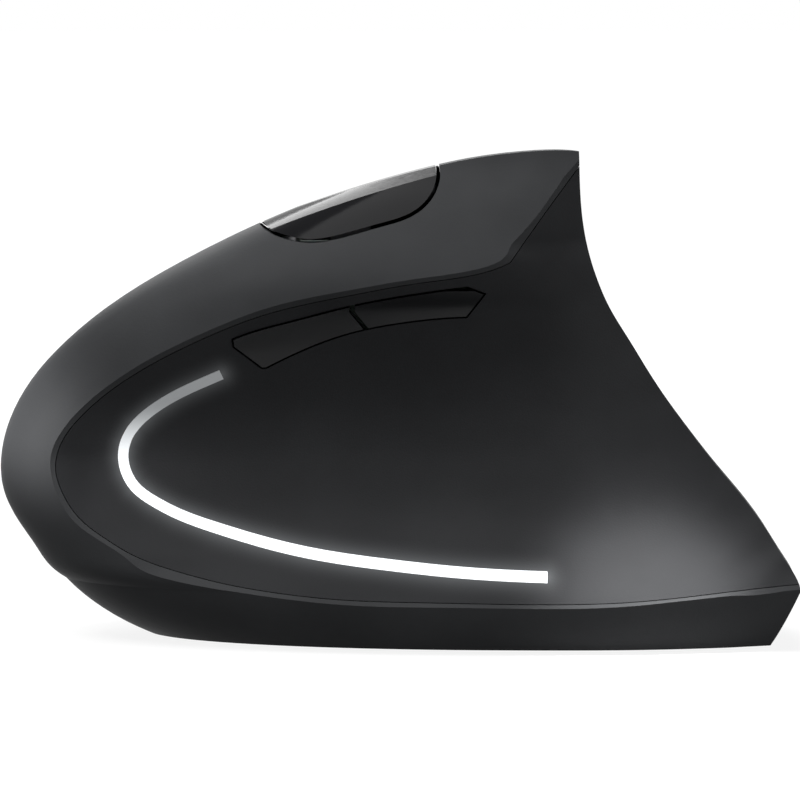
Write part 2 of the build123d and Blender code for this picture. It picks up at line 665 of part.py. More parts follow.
def light_band(width):
    """Sketch of the light line at a width, with square ends."""
    centre = flat_points(LIGHT_SHARES)
    sides = []
    for sign in (-1, 1):
        row = []
        for k, (x, z) in enumerate(centre):
            before, after = centre[max(k - 1, 0)], centre[min(k + 1, len(centre) - 1)]
            along = Vector(after[0] - before[0], after[1] - before[1], 0).normalized()
            row.append((x - sign * along.Y * width / 2, z + sign * along.X * width / 2))
        sides.append(row)
    a, b = sides
    edges = [Spline(*a), Spline(*b), Edge.make_line(a[0], b[0]), Edge.make_line(a[-1], b[-1])]
    return Sketch() + Face(Wire(edges))


def ridge_zone(inset=0.0):
    """Prism across the width over the ridge button's half oval."""
    points = flat_points(RIDGE_OVAL_SHARES)
    top = HEIGHT * 1.2
    edges = [
        Spline(*points), Edge.make_line(points[0], (points[0][0], top)),
        Edge.make_line((points[0][0], top), (points[-1][0], top)),
        Edge.make_line((points[-1][0], top), points[-1]),
    ]
    outline = Sketch() + Face(Wire(edges))
    if inset:
        outline = grown(outline, -inset)
    return side_sheet(outline, -WIDTH / 2, RIDGE_CLEAR - inset)


def casing():
    """The outer body, the thumb panel's blank, the wall round it and the middle of the wall."""
    outer = solid_of(filled_body() & behind_thumb() & under_ridge())
    inner = solid_of(filled_body(WALL, INNER_TOP_SHARE) & behind_thumb(PANEL_THICK))
    core = solid_of(filled_body(WALL / 2, CORE_TOP_SHARE) & behind_thumb(CORE_DEPTH))
    panel = solid_of((outer & crease_prism(CREASE_MARGIN + SEAM_GAP)) - behind_thumb(PANEL_THICK))
    rim = crease_prism(CREASE_MARGIN)
    ring = solid_of((outer - inner) - (rim - behind_thumb(PANEL_THICK + SEAM_GAP)))
    return outer, panel, ring, core


def screw(radius, length, head_radius, head):
    """Screw standing head up, the underside of its head at the origin."""
    shaft = Location((0, 0, -length / 2)) * Cylinder(radius, length)
    cap = Location((0, 0, head / 2)) * Cylinder(head_radius, head)
    whole = shaft + cap
    for turn in (0, 90):
        recess = Box(head_radius * RECESS_LONG_SHARE, head_radius * RECESS_WIDE_SHARE, head)
        whole = whole - Location((0, 0, head)) * (Rotation(0, 0, turn) * recess)
    return whole


def drill(length, radius):
    """Hole going down from the origin."""
    return Location((0, 0, -length / 2)) * Cylinder(radius, length)


def board_screw_places():
    """Where each board is screwed down: click board, side board, main board, ridge board."""
    under = CLICK_BOARD_DEPTH + BOARD_THICK
    click = [FINGER.location * Location((x, 0, -under), (180, 0, 0)) for x in CLICK_POSTS]
    y = SIDE_BOARD_Y + BOARD_THICK
    side = [Location((a * LENGTH, y, b * HEIGHT), (-90, 0, 0)) for a, b in SIDE_POST_SHARES]
    main = [Location((a * LENGTH, b * WIDTH, MAIN_BOARD_Z + BOARD_THICK)) for a, b in MAIN_POST_SHARES]
    top = RIDGE_BOARD_Z + BOARD_THICK
    ridge = [Location((a * LENGTH, RIDGE_SWITCH_Y, top)) for a in RIDGE_POST_SHARES]
    return click, side, main, ridge


CLICK_SCREWS, SIDE_SCREWS, MAIN_SCREWS, RIDGE_SCREWS = board_screw_places()


def drilled(shape, places):
    """A shape with the pilot holes of its board screws."""
    for at in places:
        shape = shape - at * drill(BOARD_SCREW_LENGTH + FIT, BOARD_SCREW_RADIUS + FIT)
    return shape


def main_shell(ring, core):
    """Band round the thumb rest: nose, upper band, ridge and skirt, with its screw bosses."""
    shell = ((ring - palm_front()) - palm_rear()) - ridge_zone()
    low = FOOT_THICK + BASE_THICK + FIT
    for x, y, turn in CASE_SCREWS:
        web = block(0, WEB_LONG, -WALL / 2, WALL / 2, low, WEB_TOP)
        boss = rod(x, y, low, BOSS_TOP, BOSS_RADIUS) + Location((x, y, 0)) * (Rotation(0, 0, turn) * web)
        boss = boss - rod(x, y, 0, BOSS_TOP - BOSS_ROOF, SCREW_RADIUS + FIT)
        shell = solid_of(shell.fuse(solid_of(boss & core)))
    ends = [RIDGE_BOARD_Z - RIB_DEEP, RIDGE_BOARD_Z - FIT]
    for x in [a * LENGTH for a in RIDGE_POST_SHARES]:
        rib = block(x - RIB_WIDTH / 2, x + RIB_WIDTH / 2, -WIDTH / 2, 0, ends[0], ends[1])
        shell = solid_of(shell.fuse(solid_of(drilled(rib, RIDGE_SCREWS) & core)))
    return shell


def palm_shell(ring, core):
    """Finger and palm side, with the strip between the click buttons and the wheel slot in it."""
    shell = (ring & palm_front(SEAM_GAP)) + (ring & palm_rear(SEAM_GAP))
    for side in (-1, 1):
        shell = shell - click_opening(side)
    slot = block(-SLOT_LONG, SLOT_LONG, -SLOT_WIDE, SLOT_WIDE, -CLICK_BOARD_DEPTH, LENGTH)
    shell = shell - on_finger(slot)
    for x in CLICK_POSTS:
        post = Location((x, 0, 0)) * drill(CLICK_BOARD_DEPTH - FIT, CLICK_POST_RADIUS)
        shell = shell + (on_finger(post) & core)
    return solid_of(drilled(shell, CLICK_SCREWS))


def click_button(ring, core, side, switch):
    """Click button with its plunger post and the tongue it hinges on."""
    x, s = switch
    button = (ring & palm_front(SEAM_GAP + BUTTON_GAP)) & click_zone(side)
    top = CLICK_BOARD_DEPTH - CLICK_SWITCH[2] - CLICK_PLUNGER_RISE - PRESS_GAP
    post = Location((x, s, -top / 2)) * Cylinder(PRESS_POST_RADIUS, top)
    wide = [side * TONGUE_S - TONGUE_WIDE / 2, side * TONGUE_S + TONGUE_WIDE / 2]
    foot, root = -TONGUE_DEPTH - TONGUE_THICK, BUTTON_REAR - TONGUE_LONG
    tongue = block(root, BUTTON_REAR + TONGUE_LONG, wide[0], wide[1], foot, -TONGUE_DEPTH)
    riser = block(root, root + TONGUE_LONG / 2, wide[0], wide[1], foot, 0)
    at = (side * TONGUE_S, BUTTON_REAR + PIVOT_REACH, TONGUE_DEPTH + TONGUE_THICK / 2)
    pivot = disc(PIVOT_RADIUS, TONGUE_WIDE, *at)
    return solid_of(button + (on_finger(post + tongue + riser + pivot) & core))


def thumb_panel(blank):
    """Rubber-faced thumb rest: openings for the side buttons and the light, posts for their board."""
    panel = blank - side_sheet(side_opening(), -WIDTH / 2, 0)
    panel = panel - side_sheet(light_band(LIGHT_WIDTH + 2 * FIT), -WIDTH, 0)
    behind = behind_thumb(PANEL_THICK / 2)
    for a, b in SIDE_POST_SHARES:
        post = cross_rod(a * LENGTH, b * HEIGHT, -WIDTH / 2, SIDE_BOARD_Y - FIT, POST_RADIUS)
        panel = panel + (post & behind)
    return solid_of(drilled(panel, SIDE_SCREWS))


def side_button(front, skins):
    """One side button: a plate proud of the thumb rest, a flange behind it and a post."""
    proud, back, lip, lip_back = skins
    outline = side_opening()
    half = divider_half(front)
    face = grown(outline, -SIDE_GAP) & half
    wide = grown(outline, SIDE_FLANGE) & half
    plate = (side_sheet(face, -WIDTH / 2, 0) & proud) - back
    flange = (side_sheet(wide, -WIDTH / 2, 0) & lip) - lip_back
    a, b = SIDE_SWITCH_SHARES[0 if front else 1]
    tip = SIDE_BOARD_Y - TACT_HEIGHT - TACT_PLUNGER_RISE - PRESS_GAP
    post = cross_rod(a * LENGTH, b * HEIGHT, -WIDTH / 2, tip, PRESS_POST_RADIUS) & lip
    return solid_of(plate + flange + post)


def ridge_button(outer, ring, core):
    """Glossy button along the ridge, with the post that presses its switch."""
    cap = (outer & ring) & ridge_zone(RIDGE_GAP)
    tip = RIDGE_BOARD_Z + BOARD_THICK + TACT_HEIGHT + TACT_PLUNGER_RISE + PRESS_GAP
    post = rod(RIDGE_SWITCH_X, RIDGE_SWITCH_Y, tip, HEIGHT, PRESS_POST_RADIUS) & core
    return solid_of(cap + post)


def prism(points, z0, z1):
    """Upright prism over an outline of straight lines."""
    return extrude(Plane.XY.offset(z0) * Polygon(*points, align=None), amount=z1 - z0)


def round_bar(x0, x1, y0, y1, z0, z1, radius):
    """Upright block with rounded corners."""
    bar = block(x0, x1, y0, y1, z0, z1)
    return fillet(bar.edges().filter_by(Axis.Z), radius)


def centred(x, y, size, z0):
    """Block of a size with its middle over a point and its foot at z0."""
    return block(x - size[0] / 2, x + size[0] / 2, y - size[1] / 2, y + size[1] / 2, z0, z0 + size[2])


def base_plate():
    """Bottom cover with the battery tray, the receiver bay and the posts for the main board."""
    low, top = FOOT_THICK, FOOT_THICK + BASE_THICK
    sections = [section(s, True, WALL + BASE_GAP) for s in shares_between(low / HEIGHT, top / HEIGHT, 3)]
    plate = Solid.make_loft(sections)
    walls_x = [BAY_X[0] - BAY_WALL, BAY_X[1] + BAY_WALL]
    walls_y = [BAY_Y[0] - BAY_WALL, BAY_Y[1] + BAY_WALL]
    tray = round_bar(walls_x[0], walls_x[1], walls_y[0], walls_y[1], top, BAY_TOP, BAY_WALL)
    bay_size = [v + 2 * RECEIVER_GAP + 2 * RECEIVER_WALL for v in RECEIVER_SIZE]
    roof = FOOT_THICK + RECEIVER_INSET + RECEIVER_SIZE[2] + RECEIVER_GAP
    bay = centred(RECEIVER_X, RECEIVER_Y, (bay_size[0], bay_size[1], roof + RECEIVER_WALL - top), top)
    posts = [rod(a * LENGTH, b * WIDTH, top, MAIN_BOARD_Z - FIT, POST_RADIUS) for a, b in MAIN_POST_SHARES]
    plate = plate.fuse(tray, bay, *posts)
    slot = centred(POWER_X, POWER_Y, POWER_SLOT + (top,), 0)
    door_x = [DOOR_X[0] - DOOR_GAP, DOOR_X[1] + DOOR_THICK / 2 + DOOR_GAP]
    holes = [
        block(BAY_X[0], BAY_X[1], BAY_Y[0], BAY_Y[1], top, BAY_TOP),
        centred(RECEIVER_X, RECEIVER_Y, [v + 2 * RECEIVER_GAP for v in RECEIVER_SIZE[:2]] + [roof], 0),
        rod(SENSOR_X, SENSOR_Y, 0, top, WINDOW_RADIUS),
        fillet(slot.edges().filter_by(Axis.Z), SMALL_CORNER),
        block(door_x[0], door_x[1], DOOR_Y[0] - DOOR_GAP, DOOR_Y[1] + DOOR_GAP, 0, top),
        cross_rod(DOOR_X[1], DOOR_AXIS_Z, BEAD_ENDS[0], BEAD_ENDS[1], DOOR_BEAD_RADIUS + FIT),
    ]
    for x, y, turn in CASE_SCREWS:
        holes.append(rod(x, y, 0, FOOT_THICK + COUNTERBORE, SCREW_HEAD_RADIUS + SLACK))
        holes.append(rod(x, y, 0, top, SCREW_RADIUS + SLACK))
    return solid_of(drilled(plate - holes, MAIN_SCREWS))


def battery_door():
    """Flat door with a rounded hinge edge, two hinge beads and a thumbnail notch."""
    slab = block(DOOR_X[0], DOOR_X[1], DOOR_Y[0], DOOR_Y[1], FOOT_THICK, FOOT_THICK + DOOR_THICK)
    edge = cross_rod(DOOR_X[1], DOOR_AXIS_Z, DOOR_Y[0], DOOR_Y[1], DOOR_THICK / 2)
    beads = cross_rod(DOOR_X[1], DOOR_AXIS_Z, BEAD_ENDS[0] + FIT, BEAD_ENDS[1] - FIT, DOOR_BEAD_RADIUS)
    notch = rod(DOOR_X[0], (DOOR_Y[0] + DOOR_Y[1]) / 2, 0, FOOT_THICK + DOOR_NOTCH_DEPTH, DOOR_NOTCH_RADIUS)
    return solid_of(slab + edge + beads - notch)


def glide_feet():
    """Four low-friction feet under the base."""
    feet = []
    for a, b, long, wide in FOOT_SHARES:
        size = (long * LENGTH, wide * WIDTH, FOOT_THICK)
        feet.append(fillet(centred(a * LENGTH, b * WIDTH, size, 0).edges().filter_by(Axis.Z), FOOT_CORNER))
    return feet


def case_screws():
    """Screws that hold the base plate to the casing, driven from below."""
    one = screw(SCREW_RADIUS, SCREW_LENGTH, SCREW_HEAD_RADIUS, SCREW_HEAD)
    seat = FOOT_THICK + COUNTERBORE
    return [Location((x, y, seat), (180, 0, 0)) * one for x, y, turn in CASE_SCREWS]


def board_screws():
    """Small screws that hold the circuit boards."""
    one = screw(BOARD_SCREW_RADIUS, BOARD_SCREW_LENGTH, BOARD_SCREW_HEAD_RADIUS, BOARD_SCREW_HEAD)
    return [at * one for at in CLICK_SCREWS + SIDE_SCREWS + MAIN_SCREWS + RIDGE_SCREWS]


def bored(board, places):
    """A circuit board with clearance holes for its screws."""
    for at in places:
        board = board - at * drill(BOARD_THICK * 2, BOARD_SCREW_RADIUS + SLACK)
    return solid_of(board)


def boards():
    """The four circuit boards."""
    low = -CLICK_BOARD_DEPTH - BOARD_THICK
    outline = [(a * CLICK_BOARD_LONG, b * CLICK_BOARD_WIDE) for a, b in CLICK_BOARD_SHARES]
    click = prism(outline, low, -CLICK_BOARD_DEPTH)
    click = click - block(-CLICK_BOARD_SLOT, CLICK_BOARD_SLOT, -SLOT_WIDE, SLOT_WIDE, low, 0)
    outline = [(a * LENGTH, b * HEIGHT) for a, b in SIDE_BOARD_SHARES]
    side = side_sheet(Polygon(*outline, align=None), SIDE_BOARD_Y, SIDE_BOARD_Y + BOARD_THICK)
    outline = [(a * LENGTH, b * WIDTH) for a, b in MAIN_BOARD_SHARES]
    main = prism(outline, MAIN_BOARD_Z, MAIN_BOARD_Z + BOARD_THICK)
    main = main - rod(SENSOR_X, SENSOR_Y, 0, HEIGHT, LENS_HOLE_RADIUS)
    (x0, y0), (x1, y1) = [(a * LENGTH, b * WIDTH) for a, b in RIDGE_BOARD_SHARES]
    ridge = block(x0, x1, y0, y1, RIDGE_BOARD_Z, RIDGE_BOARD_Z + BOARD_THICK)
    return {
        "click_board": bored(on_finger(click), CLICK_SCREWS),
        "side_board": bored(side, SIDE_SCREWS),
        "main_board": bored(main, MAIN_SCREWS),
        "ridge_board": bored(ridge, RIDGE_SCREWS),
    }


def switch_pair(length, width, height, rise):
    """Switch body standing on the origin with its well, and the plunger in it."""
    body = Location((0, 0, height / 2)) * Box(length, width, height)
    body = body - Location((0, 0, height)) * drill(2 * PLUNGER_WELL, PLUNGER_RADIUS + FIT)
    tall = rise + PLUNGER_ROOT
    plunger = Location((0, 0, height - PLUNGER_ROOT + tall / 2)) * Cylinder(PLUNGER_RADIUS, tall)
    return body, plunger


def switches():
    """The six switches and their plungers, each body in its place on its board."""
    click = switch_pair(CLICK_SWITCH[0], CLICK_SWITCH[1], CLICK_SWITCH[2], CLICK_PLUNGER_RISE)
    tact = switch_pair(TACT_SIZE, TACT_SIZE, TACT_HEIGHT, TACT_PLUNGER_RISE)
    short = switch_pair(TACT_SIZE, TACT_SIZE, TACT_HEIGHT, WHEEL_PLUNGER_RISE)
    seats = [
        ("left_switch", "left_plunger", click, CLICK_LEFT),
        ("right_switch", "right_plunger", click, CLICK_RIGHT),
        ("wheel_switch", "wheel_switch_plunger", short, (WHEEL_SWITCH_X, 0)),
    ]
    kinds = [
        (body, plunger, kind, FINGER.location * Location((x, y, -CLICK_BOARD_DEPTH)))
        for body, plunger, kind, (x, y) in seats
    ]
    on_board = Location((RIDGE_SWITCH_X, RIDGE_SWITCH_Y, RIDGE_BOARD_Z + BOARD_THICK))
    kinds.append(("ridge_switch", "ridge_plunger", tact, on_board))
    for name, (a, b) in zip(("front_side", "rear_side"), SIDE_SWITCH_SHARES):
        at = Location((a * LENGTH, SIDE_BOARD_Y, b * HEIGHT), (90, 0, 0))
        kinds.append((name + "_switch", name + "_plunger", tact, at))
    nodes = {}
    for body_name, plunger_name, (body, plunger), at in kinds:
        nodes[body_name] = solid_of(at * body)
        nodes[plunger_name] = solid_of(at * plunger)
    return nodes


def disc(radius, width, s=0.0, x=0.0, depth=WHEEL_DEPTH):
    """Cylinder across the finger plane, its middle at s."""
    return Location((x, s, -depth)) * (Rotation(90, 0, 0) * Cylinder(radius, width))


def wheel():
    """Scroll wheel: hub, grooved tyre and axle."""
    hub = disc(HUB_RADIUS - FIT, HUB_WIDTH) - disc(AXLE_RADIUS + FIT, HUB_WIDTH)
    for side in (-1, 1):
        dish = disc(DISH_RADIUS, DISH_DEPTH, side * (HUB_WIDTH - DISH_DEPTH) / 2)
        collar = disc(AXLE_RADIUS * 2, DISH_DEPTH, side * (HUB_WIDTH - DISH_DEPTH) / 2)
        hub = hub - (dish - collar)
    ring = disc(WHEEL_RADIUS, WHEEL_WIDTH)
    ring = fillet(ring.edges(), GROOVE_DEPTH * 2)
    cut = []
    for k in range(TYRE_GROOVES):
        turn = Rotation(0, 360 * k / TYRE_GROOVES, 0)
        groove = Location((0, 0, WHEEL_RADIUS)) * Box(2 * GROOVE_DEPTH, WHEEL_WIDTH, 2 * GROOVE_DEPTH)
        cut.append(Location((0, 0, -WHEEL_DEPTH)) * (turn * groove))
    tyre = (ring - disc(HUB_RADIUS, WHEEL_WIDTH)) - cut
    long = AXLE_END - AXLE_START
    axle = disc(AXLE_RADIUS, long, (AXLE_START + AXLE_END) / 2)
    return {
        "scroll_wheel": solid_of(on_finger(hub)),
        "wheel_tyre": solid_of(on_finger(tyre)),
        "wheel_axle": solid_of(on_finger(axle)),
    }


def wheel_mount():
    """Rocking carrier of the wheel, the bracket and pin it rocks on, and the turn sensor."""
    out, ins, tab = CARRIER_OUTSIDE, CARRIER_INSIDE, CARRIER_TAB_WIDE
    ring = block(CARRIER_FRONT, CARRIER_REAR, -out, out, -CARRIER_LOW, -CARRIER_HIGH)
    nose = block(CARRIER_FRONT, -CARRIER_OPEN, -out, out, -CARRIER_FRONT_HIGH, 0)
    bearings = block(-BEARING_LONG, BEARING_LONG, -out, out, -CARRIER_LOW, -BEARING_HIGH)
    back = block(CARRIER_OPEN, CARRIER_REAR, -tab, tab, -CARRIER_LOW, -CARRIER_TAB_HIGH)
    press = block(CARRIER_OPEN, CARRIER_TAB_END, -tab, tab, -CARRIER_TAB_LOW, -CARRIER_TAB_HIGH)
    carrier = ring - nose + bearings + back + press
    carrier = carrier - block(-CARRIER_OPEN, CARRIER_OPEN, -ins, ins, -LENGTH, LENGTH)
    carrier = carrier - disc(AXLE_RADIUS + FIT, LENGTH) - disc(PIN_RADIUS + FIT, LENGTH, 0, PIN_X, PIN_DEPTH)
    ear_from = out + EAR_GAP
    ear_to = ear_from + EAR_THICK
    ends = [PIN_X - BRACKET_LONG / 2, PIN_X + BRACKET_LONG / 2]
    sole = -CLICK_BOARD_DEPTH
    bracket = block(ends[0], ends[1], -ear_to, ear_to, sole, sole + BRACKET_THICK)
    for side in (-1, 1):
        ear = sorted([side * ear_from, side * ear_to])
        bracket = bracket + block(ends[0], ends[1], ear[0], ear[1], sole, -EAR_HIGH)
    bracket = bracket - disc(PIN_RADIUS + FIT / 2, LENGTH, 0, PIN_X, PIN_DEPTH)
    encoder = centred(0, ENCODER_S, (ENCODER_LONG, ENCODER_WIDE, ENCODER_HIGH), sole)
    half = ENCODER_SLOT / 2
    slot = block(-half, half, 0, AXLE_END + FIT, -WHEEL_DEPTH - half, -WHEEL_DEPTH + half)
    return {
        "wheel_carrier": solid_of(on_finger(carrier)),
        "wheel_bracket": solid_of(on_finger(bracket)),
        "carrier_pin": solid_of(on_finger(disc(PIN_RADIUS, 2 * ear_to, 0, PIN_X, PIN_DEPTH))),
        "wheel_encoder": solid_of(on_finger(encoder - slot)),
    }


def light_pieces(outer):
    """The light line's guide, its flexible board and the diodes between them."""
    guide = outer & side_sheet(light_band(LIGHT_WIDTH), -WIDTH, 0)
    guide = guide - behind_thumb(PANEL_THICK + LIGHT_TAIL)
    front = PANEL_THICK + LIGHT_TAIL + DIODE_GAP
    back = front + DIODE_THICK
    reach = side_sheet(light_band(LIGHT_BOARD_WIDTH), -WIDTH, 0)
    strip = (reach & behind_thumb(back + FIT)) - behind_thumb(back + FIT + LIGHT_BOARD_THICK)
    centre = Spline(*[place(*p) for p in LIGHT_SHARES])
    boxes = []
    for k in range(DIODE_COUNT):
        at = centre @ ((k + 1 / 2) / DIODE_COUNT)
        boxes.append(centred(at.X, -WIDTH / 2, (DIODE_LONG, WIDTH, DIODE_WIDE), at.Z - DIODE_WIDE / 2))
    near, far = behind_thumb(front), behind_thumb(back)
    diodes = [solid_of((one & near) - far) for one in boxes]
    return {"light_guide": solid_of(guide), "light_strip_board": solid_of(strip), "light_diodes": diodes}


def battery_pieces():
    """Two cells with their contacts and springs, one cell each way round."""
    middle = sum(BAY_X) / 2
    rows = [sum(BAY_Y) / 2 - CELL_PITCH / 2, sum(BAY_Y) / 2 + CELL_PITCH / 2]
    cells, springs, contacts = [], [], []
    for way, y in zip((1, -1), rows):
        flat = middle - way * CELL_LENGTH / 2
        turn = Location((middle, y, CELL_Z)) * Rotation(0, 0, 0 if way > 0 else 180)
        along = Rotation(0, 90, 0)
        wall = (BAY_X[1] - BAY_X[0]) / 2
        plate = wall - FIT - CONTACT_THICK
        cell = along * Cylinder(CELL_RADIUS, CELL_LENGTH)
        cell = fillet(cell.edges(), CONTACT_THICK)
        tip = CELL_LENGTH / 2 + CELL_NUB
        cell = cell + Location((CELL_LENGTH / 2, 0, 0)) * (along * Cylinder(CELL_NUB_RADIUS, 2 * CELL_NUB))
        cells.append(solid_of(turn * cell))
        button = along * Cylinder(CONTACT_BUTTON_RADIUS, plate - tip - FIT)
        button = Location(((tip + FIT + plate) / 2, 0, 0)) * button
        for end in (-1, 1):
            size = (CONTACT_THICK, CONTACT_SIZE, CONTACT_SIZE)
            piece = centred(end * (plate + CONTACT_THICK / 2), 0, size, -CONTACT_SIZE / 2)
            contacts.append(solid_of(turn * (piece + button if end > 0 else piece)))
        long = plate - CELL_LENGTH / 2 - 2 * FIT
        at = Location((-CELL_LENGTH / 2 - FIT - long / 2, 0, 0)) * along
        whole = Cone(SPRING_BASE_RADIUS, SPRING_TIP_RADIUS, long)
        hollow = Cone(SPRING_BASE_RADIUS - SPRING_WIRE, SPRING_TIP_RADIUS - SPRING_WIRE, long)
        springs.append(solid_of(turn * (at * (whole - hollow))))
    return {"battery_cells": cells, "battery_springs": springs, "battery_contacts": contacts}


def sensor_pieces():
    """Motion sensor under the main board, its clip and its lens over the window."""
    sensor_z = MAIN_BOARD_Z - SENSOR_SIZE[2] - FIT
    sensor = centred(SENSOR_X, SENSOR_Y, SENSOR_SIZE, sensor_z)
    clip = centred(SENSOR_X, SENSOR_Y, CLIP_SIZE, MAIN_BOARD_Z - FIT - CLIP_SIZE[2])
    window = (SENSOR_SIZE[0] + 2 * CLIP_WALL, SENSOR_SIZE[1] + 2 * CLIP_WALL, HEIGHT)
    clip = clip - centred(SENSOR_X, SENSOR_Y, window, 0)
    lens = centred(SENSOR_X, SENSOR_Y, LENS_SIZE, LENS_Z)
    lens = lens + rod(SENSOR_X, SENSOR_Y, LENS_Z - LENS_NUB, LENS_Z + LENS_SIZE[2] / 2, LENS_NUB_RADIUS)
    return {"motion_sensor": solid_of(sensor), "sensor_clip": solid_of(clip), "sensor_lens": solid_of(lens)}


def power_pieces():
    """Power switch under the main board and the slider that reaches it through the base."""
    body_z = MAIN_BOARD_Z - FIT - POWER_SWITCH[2]
    body = centred(POWER_X, POWER_Y, POWER_SWITCH, body_z)
    body = body - centred(POWER_X, POWER_Y, POWER_GROOVE, body_z)
    x = POWER_X - POWER_TRAVEL / 2
    flange_z = FOOT_THICK + BASE_THICK + SLACK
    knob_z = FOOT_THICK + RECEIVER_INSET
    knob = centred(x, POWER_Y, SLIDER_KNOB + (flange_z - knob_z,), knob_z)
    flange = centred(x, POWER_Y, SLIDER_FLANGE, flange_z)
    stem = centred(x, POWER_Y, SLIDER_STEM, flange_z + SLIDER_FLANGE[2])
    slider = knob + flange + stem
    for k in (-1, 0, 1):
        groove = (SLIDER_RIB, 2 * SLIDER_KNOB[1], knob_z + SLIDER_RIB)
        slider = slider - centred(x + 2 * k * SLIDER_RIB, POWER_Y, groove, 0)
    return {"power_switch": solid_of(body), "power_slider": solid_of(slider)}


def usb_receiver():
    """Small radio receiver stowed flat in its bay: a cap and a plug end."""
    z = FOOT_THICK + RECEIVER_INSET
    left = RECEIVER_X - RECEIVER_SIZE[0] / 2
    cap_long = RECEIVER_SIZE[0] - PLUG_TONGUE[0]
    y = [RECEIVER_Y - RECEIVER_SIZE[1] / 2, RECEIVER_Y + RECEIVER_SIZE[1] / 2]
    cap = round_bar(left, left + cap_long, y[0], y[1], z, z + RECEIVER_SIZE[2], SMALL_CORNER)
    x = [left + cap_long - FIT, left + RECEIVER_SIZE[0]]
    plug = block(x[0], x[1], y[0] + SMALL_CORNER, y[1] - SMALL_CORNER, z + FIT, z + PLUG_TONGUE[1])
    return solid_of(cap + plug)


def save(name, piece):
    """Write one node, a single solid or a group of separate ones."""
    shape = Compound(children=[Solid(p.wrapped) for p in piece]) if isinstance(piece, list) else piece
    export_step(shape, os.path.join("parts", name + ".step"))


def main():
    """Build every node and write it."""
    os.makedirs("parts", exist_ok=True)
    outer, panel, ring, core = casing()
    lip = PANEL_THICK + SLACK
    skins = [behind_thumb(d) for d in (-SIDE_PROUD, SIDE_PLATE - SIDE_PROUD, lip, lip + SIDE_FLANGE_THICK)]
    nodes = {
        "main_shell": main_shell(ring, core),
        "palm_shell": palm_shell(ring, core),
        "thumb_panel": thumb_panel(panel),
        "left_button": click_button(ring, core, -1, CLICK_LEFT),
        "right_button": click_button(ring, core, 1, CLICK_RIGHT),
        "front_side_button": side_button(True, skins),
        "rear_side_button": side_button(False, skins),
        "ridge_button": ridge_button(outer, ring, core),
        "base_plate": base_plate(),
        "battery_door": battery_door(),
        "glide_feet": glide_feet(),
        "case_screws": case_screws(),
        "board_screws": board_screws(),
        "usb_receiver": usb_receiver(),
    }
    nodes.update(light_pieces(outer))
    for make in (boards, switches, wheel, wheel_mount, battery_pieces, sensor_pieces, power_pieces):
        nodes.update(make())
    for name, piece in nodes.items():
        save(name, piece)


if __name__ == "__main__":
    main()
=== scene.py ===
import math

import bmesh
import bpy
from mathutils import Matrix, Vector


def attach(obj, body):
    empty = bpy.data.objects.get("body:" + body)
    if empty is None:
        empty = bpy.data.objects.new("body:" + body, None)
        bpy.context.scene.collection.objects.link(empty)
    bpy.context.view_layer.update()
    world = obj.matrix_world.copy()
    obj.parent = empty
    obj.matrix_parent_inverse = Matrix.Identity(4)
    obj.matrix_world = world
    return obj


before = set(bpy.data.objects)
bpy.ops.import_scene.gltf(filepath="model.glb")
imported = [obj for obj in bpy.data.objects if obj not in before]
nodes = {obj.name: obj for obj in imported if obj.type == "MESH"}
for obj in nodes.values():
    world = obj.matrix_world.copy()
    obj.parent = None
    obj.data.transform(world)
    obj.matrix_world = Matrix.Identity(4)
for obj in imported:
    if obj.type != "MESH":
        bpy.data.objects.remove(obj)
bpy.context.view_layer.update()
scene = bpy.context.scene
MM = 0.001
WHITE = (1, 1, 1, 1)

# Camera: a long lens a little above the desk, looking across the thumb side
LENS_MM = 270.0
SENSOR_MM = 36.0
REACH = 0.9076
ELEVATION = math.radians(4.8)
AIM = Vector((0.0005, -0.005, 0.0363))
FRAME_WIDTH_PX = 800
RISE_PX = 2.8
CLIP_END = 10.0

# Floor, and the white it gives off: two distances from the object, then the strength at each
FLOOR_SIZE = 8.0
FLOOR_DROP = 0.05 * MM
FLOOR_COLOR = (0.16, 0.16, 0.16, 1)
FLOOR_LIFT = (0.08, 0.50, 0.88, 1.0)

# Light from all round, then soft boxes: name, place, aim, width and height, power
AMBIENT = 0.15
AMBIENT_COLOR = (0.92, 0.96, 1.0, 1)
LAMPS = [
    ("left box", (-0.45, -0.28, 0.78), (-0.01, 0, 0.03), (0.24, 0.34), 4.6),
    ("right box", (0.60, -0.66, 0.15), (0.0, 0, 0.03), (0.10, 0.34), 1.9),
    ("top box", (-0.10, -0.12, 0.86), (0, 0, 0.03), (0.50, 0.40), 3.3),
    ("back box", (-0.18, 0.58, 0.56), (-0.01, 0, 0.06), (0.44, 0.50), 4.2),
]

# Soft-edged keys on the rear of the thumb rest and on the nose: place, aim, cone in degrees, power
KEYS = [
    ("rear key", (0.076, -0.118, 0.354), (0.0375, -0.029, 0.007), 6.2, 20.0),
    ("nose key", (-0.36, -0.17, 0.12), (-0.054, -0.008, 0.0315), 4.2, 9.0),
]
KEY_RADIUS = 6 * MM
KEY_BLEND = 1.0

# Light line in the side view: (x, z) in millimetres along its centre, then its own light and the
# painted glow, light painted on the surface round it
LIGHT_LINE = [
    (-26.3, 40.3), (-32.8, 37.3), (-36.6, 35.0), (-39.4, 32.5), (-40.9, 29.7), (-41.2, 27.5),
    (-40.7, 25.5), (-39.4, 23.4), (-36.6, 21.4), (-32.8, 19.6), (-26.9, 17.6), (-21.1, 16.1),
    (-13.6, 14.5), (-5.9, 13.4), (0.5, 12.7), (8.0, 12.0), (15.6, 11.6), (22.3, 11.4),
]
LINE_COLOR = (0.95, 0.98, 1.0, 1)
GLOW_COLOR = (0.93, 0.97, 1.0, 1)
GLOW_REACH = 4.2 * MM
GLOW_STRENGTH = 0.16
GLOW_FALL = 3.0
